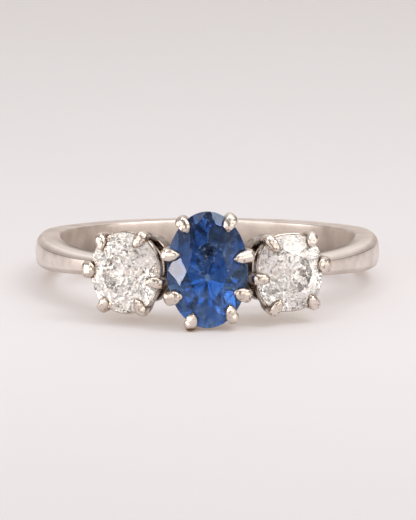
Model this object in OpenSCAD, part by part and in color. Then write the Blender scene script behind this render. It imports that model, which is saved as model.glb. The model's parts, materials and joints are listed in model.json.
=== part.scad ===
// Three stone finger ring, lying on its side: an oval centre stone between two smaller old-cut
// side stones, each in a claw coronet, soldered in a row to a bevelled, domed band.

/* [Band] */
// Inside diameter of the band, which is the finger size
finger_d = 17; // [15:0.1:20]
// Thickness of the band at the back
back_t = 1.15; // [0.9:0.05:1.6]
// Thickness of the band where its curve passes under the head
shoulder_t = 1.65; // [1.3:0.05:2.1]
// Width of the band at the back, along the finger
back_w = 1.5; // [1.3:0.05:2]
// Width of the band at its two sides
side_w = 2; // [1.6:0.05:2.4]
// Width of the band where the shoulders meet the head
shoulder_w = 1; // [0.9:0.05:1.6]
// Radius of the dome across the outer face
dome_r = 2.4; // [1.8:0.1:5]
// Width of the outer face between the bevels at the two sides
side_face = 1.2; // [1:0.05:1.6]
// Width of the outer face between the bevels under the head
shoulder_face = 0.3; // [0.1:0.05:0.6]

/* [Centre stone] */
// Length of the centre stone, along the finger
centre_len = 6.5; // [5.8:0.1:7.2]
// Width of the centre stone
centre_wid = 4.5; // [4:0.1:4.8]
// Height of its crown, from girdle to table
centre_crown = 0.85; // [0.6:0.05:1.1]
// Depth of its pavilion, from girdle to culet
centre_pavilion = 2.3; // [1.8:0.05:2.5]
// Distance from the inside of the band up to its girdle
centre_rise = 3.2; // [2.9:0.05:3.8]
// How far its coronet sits off the middle of the band, along the finger
centre_lift = 0.33; // [0:0.03:0.5]
// How far its table sits off its middle, for each millimetre of height
centre_skew = 0.25; // [0:0.05:0.35]

/* [Side stones] */
// Length of the left stone, along the finger
left_len = 4.5; // [3.8:0.1:4.8]
// Width of the left stone
left_wid = 4.15; // [3.6:0.05:4.3]
// Length of the right stone, along the finger
right_len = 4.25; // [3.8:0.05:4.8]
// Width of the right stone
right_wid = 3.95; // [3.6:0.05:4.3]
// Height of their crowns, from girdle to table
side_crown = 0.75; // [0.5:0.05:0.95]
// Depth of their pavilions, from girdle to culet
side_pavilion = 1.85; // [1.5:0.05:2.1]
// Distance from the inside of the band up to their girdles
side_rise = 2.8; // [2.5:0.05:3.2]
// Angle round the finger from the centre stone to each side stone
side_angle = 24; // [22:0.5:28]

/* [Claws and rails] */
// Width of a claw of the centre coronet
centre_claw_w = 0.7; // [0.5:0.02:0.9]
// Width of a claw of a side coronet
side_claw_w = 0.64; // [0.45:0.02:0.8]
// Thickness of every claw
claw_t = 0.5; // [0.4:0.02:0.65]
// How far a centre claw reaches in over the crown
centre_reach = 0.68; // [0.45:0.02:0.9]
// How far a side claw reaches in over the crown
side_reach = 0.52; // [0.4:0.02:0.75]
// Wall of the base rail of each coronet
rail_wall = 0.42; // [0.3:0.02:0.6]
// Height of the base rails above the finger
rail_h = 0.8; // [0.5:0.05:1.1]
// Height of the bearing band under the girdle of each side stone
bearing_h = 0.32; // [0.2:0.02:0.5]
// Clearance between a stone and its metal seat
seat_gap = 0.03; // [0.02:0.01:0.08]

/* [Hidden] */
$fn = 96;
METAL = "#c9c0b4";

finger_r = finger_d / 2;
girdle_t = 0.12;             // height of the plain band round each stone
outline_steps = 64;          // sides of a girdle outline
bearing_lip = 0.08;          // how far the bearing bands stand out round the girdles
block = 24;                  // longer than anything that is cut
mains = 8;                   // main facets round each crown and each pavilion
main_turn = 360 / mains;     // angle from one main facet to the next
half_turn = main_turn / 2;
quarter_turn = main_turn / 4;
dome_axis_r = finger_r + (back_t + shoulder_t) / 2;
dome_shift = (shoulder_t - back_t) / 2;
bevel_r = dome_axis_r + side_face / 2;
bevel_shift = bevel_r - finger_r - shoulder_t - shoulder_face / 2;

// Columns of a stone
HALF_W = 0; HALF_L = 1; CROWN = 2; PAVILION = 3; TABLE = 4; STAR = 5; LOWER = 6; CULET = 7;
SQUARE = 8; SKEW = 9;
// TABLE, STAR, LOWER and CULET are shares of the girdle's radius: the table's corners, the outer
// corners of the star facets, the inner corners of the lower girdle facets, and the culet.
// SQUARE is the power of the outline, where 2 is an ellipse and more is a cushion. SKEW leans the
// table one way and the culet the other, as in old stones cut to save their weight.
centre_stone = [centre_wid / 2, centre_len / 2, centre_crown, centre_pavilion,
    0.52, 0.76, 0.45, 0.06, 2, centre_skew];
left_stone = [left_wid / 2, left_len / 2, side_crown, side_pavilion,
    0.5, 0.74, 0.55, 0.1, 2.1, 0];
right_stone = [right_wid / 2, right_len / 2, side_crown, side_pavilion,
    0.5, 0.74, 0.55, 0.1, 2.45, 0];

// Columns of a coronet
STONE = 0; ANGLE = 1; RISE = 2; RAIL = 3; CLAW_W = 4; REACH = 5; CLAWS = 6; BEARING = 7; LIFT = 8;
// RAIL is the base rail's size as a share of the girdle's. CLAWS has a row for each claw: its PLACE
// round the girdle, in degrees from the side that faces right, the TURN of its tip away from
// pointing straight in, and the share of REACH that it has.
PLACE = 0; TURN = 1; SHARE = 2;
centre_coronet = [centre_stone, 0, centre_rise, 0.8, centre_claw_w, centre_reach,
    [[14, 0, 1], [57, 30, 0.68], [127, -12, 0.62], [165, 16, 0.8],
        [208, -8, 0.64], [246, 20, 0.84], [307, -36, 1], [335, -4, 0.64]], 0, centre_lift];
left_coronet = [left_stone, -side_angle, side_rise, 0.9, side_claw_w, side_reach,
    [[61, 0, 0.85], [129, -20, 1], [178, 0, 0.7],
        [235, 0, 0.85], [299, -15, 1.1], [350, 0, 0.9]], bearing_h, 0];
right_coronet = [right_stone, side_angle, side_rise, 0.9, side_claw_w, side_reach,
    [[7, 0, 0.7], [56, 0, 0.75], [126, 0, 1.1],
        [184, 0, 0.85], [244, 0, 0.9], [309, 0, 0.9]], bearing_h, 0];
CORONETS = [left_coronet, centre_coronet, right_coronet];

// Columns of a claw's stations, from foot to tip. UP below the girdle is a share of the way down
// to the rail, and above it a share of the claw's thickness over the crown. OUT is in thicknesses
// outside the girdle, IN in reaches inside it, WIDE and THICK in the claw's own sizes.
OUT = 0; IN = 1; UP = 2; WIDE = 3; THICK = 4;
CLAW_STATIONS = [
    [-0.10, 0.00, -0.50, 0.92, 1.05],
    [ 0.30, 0.00, -0.12, 0.98, 1.00],
    [ 0.36, 0.00,  0.30, 1.00, 0.98],
    [ 0.00, 0.14,  0.50, 0.98, 0.96],
    [ 0.00, 0.55,  0.30, 0.86, 0.96],
    [ 0.00, 0.88,  0.16, 0.52, 0.76],
    [ 0.00, 1.00,  0.08, 0.24, 0.44]];
// Cross-section of a claw: shares of its width and of its thickness, flat towards the stone
CLAW_SECTION = [[-0.5, -0.5], [0.5, -0.5], [0.5, 0.08], [0.3, 0.4], [0, 0.5], [-0.3, 0.4], [-0.5, 0.08]];

function unit(v) = v / norm(v);
function signed_power(x, p) = sign(x) * pow(abs(x), p);
function flat_list(rows) = [for (row = rows) each row];

// Point on a stone's girdle at a place in degrees, and the way that the girdle faces there
function girdle_point(s, t, extra = 0) = [
    (s[HALF_W] + extra) * signed_power(cos(t), 2 / s[SQUARE]),
    (s[HALF_L] + extra) * signed_power(sin(t), 2 / s[SQUARE])];
function girdle_facing(s, t) = unit([
    signed_power(cos(t), 2 - 2 / s[SQUARE]) / s[HALF_W],
    signed_power(sin(t), 2 - 2 / s[SQUARE]) / s[HALF_L]]);
function girdle_outline(s, extra = 0) = [
    for (i = [0 : outline_steps - 1]) girdle_point(s, 360 * (i + 0.5) / outline_steps, extra)];

// A facet is a flat cut: at height z0 it lies at r0 of the girdle's radius, and at z1 at r1
function facet(t, r0, z0, r1, z1) = [t, r0, z0, r1, z1];

function crown_facets(s) = let (
        top = s[CROWN],
        star_z = top * (1 - s[STAR] * cos(half_turn)) / (1 - s[TABLE])) concat(
    [for (i = [0 : mains - 1]) facet(main_turn * i, 1, 0, s[TABLE], top)],
    [for (i = [0 : mains - 1])
        facet(main_turn * i + half_turn, s[TABLE] * cos(half_turn), top, s[STAR], star_z)],
    [for (i = [0 : 2 * mains - 1])
        facet(half_turn * i + quarter_turn, cos(quarter_turn), 0, s[STAR] * cos(quarter_turn), star_z)]);

function pavilion_facets(s) = let (
        top = -girdle_t,
        bottom = top - s[PAVILION],
        lower_z = top - s[PAVILION] * (1 - s[LOWER] * cos(half_turn)) / (1 - s[CULET])) concat(
    [for (i = [0 : mains - 1]) facet(main_turn * i, 1, top, s[CULET], bottom)],
    [for (i = [0 : 2 * mains - 1])
        facet(half_turn * i + quarter_turn, cos(quarter_turn), top,
            s[LOWER] * cos(quarter_turn), lower_z)]);

// How far the girdle stands out from a chord square to a facet, next to an ellipse
function facet_bulge(s, f) = let (power = s[SQUARE] / (s[SQUARE] - 1))
    pow(pow(abs(cos(f[0])), power) + pow(abs(sin(f[0])), power), 1 / power);
function facet_normal(s, f) = [cos(f[0]) / s[HALF_W], sin(f[0]) / s[HALF_L],
    facet_bulge(s, f) * (f[1] - f[3]) / (f[4] - f[2]) - s[SKEW] * sin(f[0]) / s[HALF_L]];

// What lies under one facet's plane, moved out by grow
module under_facet(s, f, grow) {
    normal = facet_normal(s, f);
    distance = (facet_bulge(s, f) * f[1] + normal[2] * f[2]) / norm(normal) + grow;
    rotate([0, acos(normal[2] / norm(normal)), atan2(normal[1], normal[0])])
        translate([-block / 2, -block / 2, distance - block])
            cube(block);
}

// A cut stone about its own axis, with its girdle's upper edge at height 0 and its table up
module cut_stone(s, grow = 0) {
    low = -girdle_t - s[PAVILION] - grow;
    intersection() {
        translate([0, 0, low])
            linear_extrude(s[CROWN] + grow - low)
                polygon(girdle_outline(s, grow));
        intersection_for (f = concat(crown_facets(s), pavilion_facets(s)))
            under_facet(s, f, grow);
    }
}

// Puts a coronet's own parts, made about the z axis with the girdle at height 0, on the ring
module on_ring(c) {
    rotate([0, 0, c[ANGLE]])
        translate([0, -finger_r - c[RISE], c[LIFT]])
            rotate([90, 0, 0])
                children();
}

// Closed solid through rings of points, each ring seen the same way round
module loft(rings) {
    n = len(rings[0]);
    last = (len(rings) - 1) * n;
    sides = [for (i = [0 : len(rings) - 2], j = [0 : n - 1]) let (
            a = i * n + j, b = i * n + (j + 1) % n) each [[a, a + n, b], [b, a + n, b + n]]];
    foot = [for (j = [1 : n - 2]) [0, j, j + 1]];
    tip = [for (j = [1 : n - 2]) [last, last + j + 1, last + j]];
    polyhedron(points = flat_list(rings), faces = concat(sides, foot, tip));
}

// Height of a stone's crown over a point inside its girdle
function crown_height(s, q) = min(concat([s[CROWN]], [
    for (f = crown_facets(s)) let (n = facet_normal(s, f))
        (facet_bulge(s, f) * f[1] + n[2] * f[2] - n[0] * q[0] - n[1] * q[1]) / n[2]]));

function turned(v, t) = [v[0] * cos(t) - v[1] * sin(t), v[0] * sin(t) + v[1] * cos(t)];

// Middle of each section of a claw, its width and thickness, and its direction across
function claw_line(c, claw) = let (
        s = c[STONE],
        t = claw[PLACE],
        p = girdle_point(s, t),
        n = girdle_facing(s, t),
        tip_way = turned(n, claw[TURN]),
        reach = c[REACH] * claw[SHARE],
        drop = c[RISE] - rail_h,
        foot = p * c[RAIL] - n * rail_wall / 2) concat(
    [[foot[0], foot[1], -c[RISE] - rail_h / 2, 0.9 * c[CLAW_W], claw_t, [n[1], -n[0], 0]],
     [foot[0], foot[1], -drop, 0.9 * c[CLAW_W], claw_t, [n[1], -n[0], 0]]],
    [for (row = CLAW_STATIONS) let (
            inward = row[IN] * reach,
            m = turned(n, claw[TURN] * min(1, 2 * row[IN])),
            q = p + n * row[OUT] * claw_t - tip_way * inward,
            over = row[IN] > 0 ? crown_height(s, q) : 0,
            z = row[UP] < 0 ? row[UP] * drop : row[UP] * claw_t + over)
        [q[0], q[1], z, row[WIDE] * c[CLAW_W], row[THICK] * claw_t, [m[1], -m[0], 0]]]);

function middle(row) = [row[0], row[1], row[2]];

function claw_rings(c, claw) = let (
        line = claw_line(c, claw),
        last = len(line) - 1) [
    for (i = [0 : last]) let (
            across = line[i][5],
            way = unit(middle(line[min(i + 1, last)]) - middle(line[max(i - 1, 0)])),
            out = unit(cross(way, across)))
        [for (k = CLAW_SECTION) middle(line[i]) + across * k[0] * line[i][3] + out * k[1] * line[i][4]]];

module claws(c) {
    for (claw = c[CLAWS]) loft(claw_rings(c, claw));
}

// A rail's outline, at a share of the girdle's size and in from it
module rail_outline(c, inset = 0) {
    s = c[STONE];
    polygon(c[RAIL] * girdle_outline(s, -inset / c[RAIL]));
}

// Rail round the foot of a coronet, from inside the finger hole up to the rail's height
module base_rail(c) {
    translate([0, 0, -c[RISE] - rail_h])
        linear_extrude(2 * rail_h)
            rail_outline(c);
}

// Band close under the girdle, which the seat is cut into
module bearing_band(c) {
    s = c[STONE];
    translate([0, 0, -girdle_t - c[BEARING]])
        linear_extrude(c[BEARING])
            difference() {
                polygon(girdle_outline(s, bearing_lip));
                polygon(girdle_outline(s, -rail_wall));
            }
}

// Open inside of a coronet, which lets light reach the stone from the finger hole
module light_hole(c) {
    translate([0, 0, -c[RISE] - 2 * rail_h])
        linear_extrude(c[RISE] + 2 * rail_h)
            rail_outline(c, rail_wall);
}

module coronet(c) {
    difference() {
        base_rail(c);
        light_hole(c);
    }
    if (c[BEARING] > 0) bearing_band(c);
    claws(c);
}

// The band all the way round: domed outside, thicker towards the head, bevelled at the shoulders
module band_blank() {
    widest = max(back_w, side_w, shoulder_w);
    back = finger_r + back_t;
    front = finger_r * cos(side_angle);
    intersection() {
        translate([0, -dome_shift, 0])
            rotate_extrude()
                intersection() {
                    translate([dome_axis_r - dome_r, 0]) circle(dome_r);
                    translate([finger_r - 1, -widest / 2]) square([shoulder_t + 2, widest]);
                }
        translate([0, bevel_shift, 0])
            rotate_extrude()
                polygon([[0, -bevel_r], [bevel_r, 0], [0, bevel_r]]);
        rotate([90, 0, 90])
            linear_extrude(block, center = true)
                polygon([
                    [back, -back_w / 2], [back, back_w / 2],
                    [0, side_w / 2], [-front, shoulder_w / 2], [-block, shoulder_w / 2],
                    [-block, -shoulder_w / 2], [-front, -shoulder_w / 2], [0, -side_w / 2]]);
    }
}

// Space over the rails where the coronets stand between the two shoulders
module head_gap() {
    half = side_angle + asin(side_share() / (finger_r + rail_h));
    far = 2 * block;
    difference() {
        linear_extrude(block, center = true)
            polygon([[0, 0], [-far * sin(half), -far * cos(half)], [far * sin(half), -far * cos(half)]]);
        cylinder(r = finger_r + rail_h, h = 2 * block, center = true);
    }
}
// How far the narrower side rail reaches from its stone's axis, inside its wall
function side_share() = min(left_stone[HALF_W] * left_coronet[RAIL],
    right_stone[HALF_W] * right_coronet[RAIL]) - rail_wall;

// Leans the ring back until its lowest claws and the back of the band touch the ground, and puts
// the middle of its outline over the origin
function ring_points(c, points) = [for (p = points) let (
        y = -finger_r - c[RISE] - p[2])
    [p[0] * cos(c[ANGLE]) - y * sin(c[ANGLE]), p[0] * sin(c[ANGLE]) + y * cos(c[ANGLE]),
        p[1] + c[LIFT]]];
claw_points = ring_points(centre_coronet,
    flat_list([for (claw = centre_coronet[CLAWS]) flat_list(claw_rings(centre_coronet, claw))]));
back_sag = dome_r - sqrt(dome_r * dome_r - back_w * back_w / 4);
back_edge = [0, finger_r + back_t - back_sag, -back_w / 2];
lean = max([for (p = claw_points) atan2(back_edge[2] - p[2], back_edge[1] - p[1])]);
function leaned(p) = [p[0], p[1] * cos(lean) + p[2] * sin(lean), p[2] * cos(lean) - p[1] * sin(lean)];
table_edge = [0, -finger_r - centre_rise - centre_crown, -centre_stone[TABLE] * centre_len / 2];
front_y = min(leaned(table_edge)[1], min([for (p = claw_points) leaned(p)[1]]));
back_y = leaned([0, finger_r + back_t, 0])[1];
shift_y = -(front_y + back_y) / 2;
shift_z = -leaned(back_edge)[2];

module at_rest() {
    translate([0, shift_y, shift_z])
        rotate([-lean, 0, 0])
            children();
}

module ring_mount() {
    color(METAL) at_rest() {
        difference() {
            union() {
                difference() {
                    band_blank();
                    head_gap();
                    for (c = CORONETS) on_ring(c) light_hole(c);
                }
                for (c = CORONETS) on_ring(c) coronet(c);
            }
            cylinder(r = finger_r, h = block, center = true);
            for (c = CORONETS) on_ring(c) cut_stone(c[STONE], seat_gap);
        }
    }
}

module centre_sapphire() {
    color("#20488c") at_rest() on_ring(centre_coronet) cut_stone(centre_stone);
}

module left_diamond() {
    color("#eef2f4") at_rest() on_ring(left_coronet) cut_stone(left_stone);
}

module right_diamond() {
    color("#e9eef2") at_rest() on_ring(right_coronet) cut_stone(right_stone);
}

ring_mount();
centre_sapphire();
left_diamond();
right_diamond();
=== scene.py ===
"""Looks of a three stone ring that lies on its side, stones to the front.

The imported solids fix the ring's place and size. The metal is built again with rounded claws,
softened edges and worn bevels, and the stones with the same flat cuts, so that light runs through
them as it does through real ones. Sizes are in mm, but for the studio's, which are in metres.
"""

import json
import logging
import math
from dataclasses import dataclass
from enum import Enum
from typing import Sequence

import bmesh
import bpy
import numpy as np
from mathutils import Matrix, Quaternion, Vector, noise


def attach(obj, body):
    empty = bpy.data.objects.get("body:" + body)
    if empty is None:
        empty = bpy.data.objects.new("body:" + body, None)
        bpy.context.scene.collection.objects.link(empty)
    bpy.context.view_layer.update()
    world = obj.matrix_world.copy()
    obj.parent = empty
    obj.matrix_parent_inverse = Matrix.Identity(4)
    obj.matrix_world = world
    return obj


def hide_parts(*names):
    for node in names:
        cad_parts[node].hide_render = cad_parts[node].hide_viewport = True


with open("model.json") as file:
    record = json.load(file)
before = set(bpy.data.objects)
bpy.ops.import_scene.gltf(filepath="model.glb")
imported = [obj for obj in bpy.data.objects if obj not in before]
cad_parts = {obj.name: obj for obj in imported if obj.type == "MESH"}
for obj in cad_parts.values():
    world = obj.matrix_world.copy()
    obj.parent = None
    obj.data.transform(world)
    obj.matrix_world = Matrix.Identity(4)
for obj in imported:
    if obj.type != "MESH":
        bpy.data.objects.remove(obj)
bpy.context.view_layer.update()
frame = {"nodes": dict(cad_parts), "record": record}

log = logging.getLogger("three_stone_ring")

MM = 0.001
GIRDLE_T = 0.12
OUTLINE_STEPS = 64
MAINS = 8
MAIN_TURN = 2 * math.pi / MAINS
HALF_TURN = MAIN_TURN / 2
QUARTER_TURN = MAIN_TURN / 4
SWAY = (4.7, 1.3)
DIP = (3.1, 0.4)
DIP_SHARE = 0.006
EDGE_SHARE = 0.45
WORN_SHARE = 0.4
ONWARDS = (1.0, 0.85)
DENT_SEED = 1
BLACK = (0.0, 0.0, 0.0)
WHITE = (1.0, 1.0, 1.0)


class Cut(Enum):
    """How one solid works on another."""

    ADD = "UNION"
    REMOVE = "DIFFERENCE"


class Edge(Enum):
    """How far a kind of metal edge is worn round, as a radius in mm."""

    FINGER = 0.16
    SIDE = 0.25
    BEVEL = 0.20
    RAIL = 0.07


def signed_power(value: float, power: float) -> float:
    """Power of a number's size, with its sign kept.

    Args:
        value: The number.
        power: The power to raise its size to.

    Returns:
        The signed power.
    """
    return math.copysign(abs(value) ** power, value)


def unit(vector: np.ndarray) -> np.ndarray:
    """Vector of length one along another.

    Args:
        vector: Any vector but zero.

    Returns:
        The unit vector.
    """
    return vector / np.linalg.norm(vector)


def turned(vector: np.ndarray, angle: float) -> np.ndarray:
    """Flat vector turned anticlockwise.

    Args:
        vector: The vector, of two numbers.
        angle: The angle in radians.

    Returns:
        The turned vector.
    """
    c, s = math.cos(angle), math.sin(angle)
    return np.array([vector[0] * c - vector[1] * s, vector[0] * s + vector[1] * c])


def uneven(index: int, wave: tuple[float, float]) -> float:
    """Number from -1 to 1 that differs from one cut to the next."""
    return math.sin(wave[0] * index + wave[1])


def grown(value: float, start: float, length: float) -> float:
    """Share that grows from 0 at a start to 1 a length further on."""
    return min(1.0, max(0.0, (value - start) / length))


def dent(place: Vector, depth: float) -> np.ndarray:
    """How far worn metal is pushed at a place in the pattern of dents."""
    return np.array(noise.noise_vector(place)) * depth


def girdle_matrix(base: Matrix, angle: float, out: float, lift: float) -> Matrix:
    """Matrix from a stone's own frame, through the ring's.

    Args:
        base: Matrix from the ring's own frame onwards.
        angle: Degrees round the finger from the middle of the head.
        out: Distance from the middle of the finger to the girdle.
        lift: How far the stone lies over the band's middle.

    Returns:
        The matrix.
    """
    around = Matrix.Rotation(math.radians(angle), 4, "Z")
    facing_out = Matrix.Rotation(math.radians(90), 4, "X")
    return base @ around @ Matrix.Translation((0, -out, lift)) @ facing_out


def spline(rows: np.ndarray, steps: int) -> np.ndarray:
    """Smooth line through rows of numbers, which keeps to each of them.

    Args:
        rows: One row of numbers for each station.
        steps: Steps from one station to the next.

    Returns:
        The rows of the finer line.
    """
    padded = np.vstack([2 * rows[0] - rows[1], rows, 2 * rows[-1] - rows[-2]])
    finer = []
    for i in range(1, len(padded) - 2):
        before, here, there, after = padded[i - 1 : i + 3]
        for t in np.arange(steps) / steps:
            finer.append(
                here
                + 0.5 * t * (there - before)
                + t * t * (before - 2.5 * here + 2 * there - 0.5 * after)
                + t**3 * (1.5 * (here - there) + 0.5 * (after - before))
            )
    return np.array(finer + [rows[-1]])


def loft(rings: np.ndarray, around: bool = False) -> tuple[list, list]:
    """Closed skin through rings of points.

    Args:
        rings: Rings, points and coordinates, with each ring seen the same way round.
        around: True where the last ring joins the first, with no ends.

    Returns:
        The skin's points and faces.
    """
    count, size = rings.shape[:2]
    points = [tuple(p) for p in rings.reshape(-1, 3)]
    faces = []
    for i in range(count if around else count - 1):
        a, b = i * size, (i + 1) % count * size
        for j in range(size):
            k = (j + 1) % size
            faces.append((a + j, b + j, b + k, a + k))
    if not around:
        faces.append(tuple(range(size)))
        faces.append(tuple(reversed(range((count - 1) * size, count * size))))
    return points, faces


def new_object(name: str, shells: Sequence[tuple[list, list]]) -> bpy.types.Object:
    """Mesh object in the scene, from one closed skin or several.

    Args:
        name: Name of the object.
        shells: Points and faces of each skin.

    Returns:
        The object.
    """
    points, faces = [], []
    for shell_points, shell_faces in shells:
        start = len(points)
        points += shell_points
        faces += [tuple(start + i for i in f) for f in shell_faces]
    mesh = bpy.data.meshes.new(name)
    mesh.from_pydata(points, [], faces)
    made = bmesh.new()
    made.from_mesh(mesh)
    bmesh.ops.recalc_face_normals(made, faces=made.faces)
    made.to_mesh(mesh)
    made.free()
    obj = bpy.data.objects.new(name, mesh)
    bpy.context.scene.collection.objects.link(obj)
    return obj


def cut(base: bpy.types.Object, how: Cut, tool: bpy.types.Object) -> None:
    """Adds a solid to another or takes it away, and uses it up.

    Args:
        base: The solid that changes.
        how: Whether the tool is added or removed.
        tool: The solid that works on it.
    """
    step = base.modifiers.new(how.name, "BOOLEAN")
    step.solver = "MANIFOLD"
    step.operation = how.value
    step.object = tool
    graph = bpy.context.evaluated_depsgraph_get()
    result = bpy.data.meshes.new_from_object(base.evaluated_get(graph))
    base.modifiers.clear()
    base.data = result
    bpy.data.objects.remove(tool)


@dataclass(frozen=True)
class RestPose:
    """Where the ring lies. Its own frame, in mm, has the finger along Z and the stones at -Y."""

    centre: Vector
    lean: float
    finger_r: float

    @classmethod
    def from_record(cls, record: dict) -> "RestPose":
        """Reads the pose from the finger hole.

        Args:
            record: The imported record.

        Returns:
            The pose.
        """
        hole = next(m for m in record["mounts"] if m["name"] == "finger_hole")
        lean = math.atan2(hole["axis"][1], hole["axis"][2])
        return cls(Vector(hole["pos_m"]), lean, hole["dims"]["r_mm"])

    def matrix(self) -> Matrix:
        """Matrix from the ring's own frame in mm to the row's frame in metres."""
        place = Matrix.Translation(self.centre) @ Matrix.Rotation(-self.lean, 4, "X")
        return place @ Matrix.Scale(MM, 4)

    def finger(self) -> bpy.types.Object:
        """Cylinder that the finger hole is cut with.

        Returns:
            The cylinder, in the ring's own frame.
        """
        sides, reach, r = 288, 9.0, self.finger_r
        turn = 2 * math.pi / sides
        ring = [(math.cos(i * turn), math.sin(i * turn)) for i in range(sides)]
        rings = np.array([[(r * x, r * y, z) for x, y in ring] for z in (-reach, reach)])
        return new_object("finger", [loft(rings)])


@dataclass(frozen=True)
class Facet:
    """A flat cut: at height z0 it lies at r0 of the girdle's radius, and at z1 at r1.

    turn is the way that it faces round the stone, in radians.
    """

    turn: float
    r0: float
    z0: float
    r1: float
    z1: float


@dataclass(frozen=True)
class Stone:
    """A cut stone about its own axis, its girdle's upper edge at height 0 and its table up.

    The table, star, lower and culet sizes are shares of the girdle's radius. square is the power
    of the outline, and skew leans the table one way and the culet the other. The turns are how far,
    in degrees, each main or upper girdle facet was cut out of its true place, and wobble is that
    of the lower girdle facets.
    """

    node: str
    half_w: float
    half_l: float
    crown: float
    pavilion: float
    table: float
    star: float
    lower: float
    culet: float
    square: float
    skew: float
    crown_turns: tuple[float, ...] = (0.0,) * MAINS
    upper_turns: tuple[float, ...] = (0.0,) * MAINS * 2
    pavilion_turns: tuple[float, ...] = (0.0,) * MAINS
    wobble: float = 0.0

    def girdle_point(self, place: float, extra: float = 0.0) -> np.ndarray:
        """Point on the girdle.

        Args:
            place: Angle round the stone in radians.
            extra: How far out of the girdle.

        Returns:
            The point's two coordinates.
        """
        power = 2 / self.square
        return np.array(
            [
                (self.half_w + extra) * signed_power(math.cos(place), power),
                (self.half_l + extra) * signed_power(math.sin(place), power),
            ]
        )

    def girdle_facing(self, place: float) -> np.ndarray:
        """Way that the girdle faces at an angle in radians."""
        power = 2 - 2 / self.square
        return unit(
            np.array(
                [
                    signed_power(math.cos(place), power) / self.half_w,
                    signed_power(math.sin(place), power) / self.half_l,
                ]
            )
        )

    def outline(self, extra: float) -> list[np.ndarray]:
        """Points all round the girdle, some way out of it."""
        turn = 2 * math.pi / OUTLINE_STEPS
        return [self.girdle_point((i + 0.5) * turn, extra) for i in range(OUTLINE_STEPS)]

    def crown_facets(self) -> list[Facet]:
        """The cuts above the girdle but the table: mains, stars and upper girdle facets.

        Returns:
            The cuts, in the order that they are made.
        """
        top = self.crown
        star_z = top * (1 - self.star * math.cos(HALF_TURN)) / (1 - self.table)
        corner, edge = math.cos(HALF_TURN), math.cos(QUARTER_TURN)
        mains = [
            Facet(MAIN_TURN * i + math.radians(off), 1, 0, self.table, top)
            for i, off in enumerate(self.crown_turns)
        ]
        stars = [
            Facet(MAIN_TURN * i + HALF_TURN, self.table * corner, top, self.star, star_z)
            for i in range(MAINS)
        ]
        girdle = []
        for i, off in enumerate(self.upper_turns):
            turn = HALF_TURN * i + QUARTER_TURN + math.radians(off)
            girdle.append(Facet(turn, edge, 0, self.star * edge, star_z))
        return mains + stars + girdle

    def pavilion_facets(self) -> list[Facet]:
        """The cuts under the girdle: mains and lower girdle facets.

        Returns:
            The cuts, in the order that they are made.
        """
        top = -GIRDLE_T
        bottom = top - self.pavilion
        count = len(self.pavilion_turns)
        step = 2 * math.pi / count
        slope = (1 - self.lower * math.cos(step / 2)) / (1 - self.culet)
        lower_z = top - self.pavilion * slope
        edge = math.cos(step / 4)
        mains = [
            Facet(step * i + math.radians(off), 1, top, self.culet, bottom)
            for i, off in enumerate(self.pavilion_turns)
        ]
        girdle = []
        for i in range(2 * count):
            sway = self.wobble * uneven(i, SWAY)
            dip = 1 + self.wobble * DIP_SHARE * uneven(i, DIP)
            turn = step / 2 * i + step / 4 + math.radians(sway)
            girdle.append(Facet(turn, edge, top, self.lower * edge * dip, lower_z))
        return mains + girdle

    def plane(self, facet: Facet) -> tuple[np.ndarray, float]:
        """Plane of a cut.

        Args:
            facet: The cut.

        Returns:
            The plane's normal, not of unit length, and its distance times that length.
        """
        c, s = math.cos(facet.turn), math.sin(facet.turn)
        power = self.square / (self.square - 1)
        bulge = (abs(c) ** power + abs(s) ** power) ** (1 / power)
        rise = bulge * (facet.r0 - facet.r1) / (facet.z1 - facet.z0)
        normal = np.array([c / self.half_w, s / self.half_l, rise - self.skew * s / self.half_l])
        return normal, bulge * facet.r0 + normal[2] * facet.z0

    def crown_height(self, point: np.ndarray) -> float:
        """Height of the crown over a point inside the girdle.

        Args:
            point: The point's two coordinates.

        Returns:
            The height over the girdle.
        """
        heights = [self.crown]
        for facet in self.crown_facets():
            normal, reach = self.plane(facet)
            heights.append((reach - normal[:2] @ point[:2]) / normal[2])
        return min(heights)

    def build(self, name: str, grow: float = 0.0) -> bpy.types.Object:
        """Cuts the stone out of a prism, one flat cut after another.

        Args:
            name: Name of the object.
            grow: How far every face is moved out, for a seat.

        Returns:
            The stone, in its own frame.
        """
        low = -GIRDLE_T - self.pavilion - grow
        high = self.crown + grow
        rings = np.array([[(x, y, z) for x, y in self.outline(grow)] for z in (low, high)])
        obj = new_object(name, [loft(rings)])
        made = bmesh.new()
        made.from_mesh(obj.data)
        for facet in self.crown_facets() + self.pavilion_facets():
            normal, reach = self.plane(facet)
            size = np.linalg.norm(normal)
            way = Vector(normal / size)
            slice_of = bmesh.ops.bisect_plane(
                made,
                geom=made.verts[:] + made.edges[:] + made.faces[:],
                dist=1e-6,
                plane_co=way * (reach / size + grow),
                plane_no=way,
                clear_outer=True,
            )
            edges = [e for e in slice_of["geom_cut"] if isinstance(e, bmesh.types.BMEdge)]
            if edges:
                bmesh.ops.contextual_create(made, geom=edges)
        bmesh.ops.recalc_face_normals(made, faces=made.faces)
        made.to_mesh(obj.data)
        made.free()
        return obj


@dataclass(frozen=True)
class ClawStation:
    """One section of a claw: thicknesses out of the girdle, reaches in, height, and its size.

    Under the girdle, up is a share of the way down to the rail, and over it a share of the claw's
    thickness above the crown. wide and thick are shares of the claw's own.
    """

    out: float
    inward: float
    up: float
    wide: float
    thick: float


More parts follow.
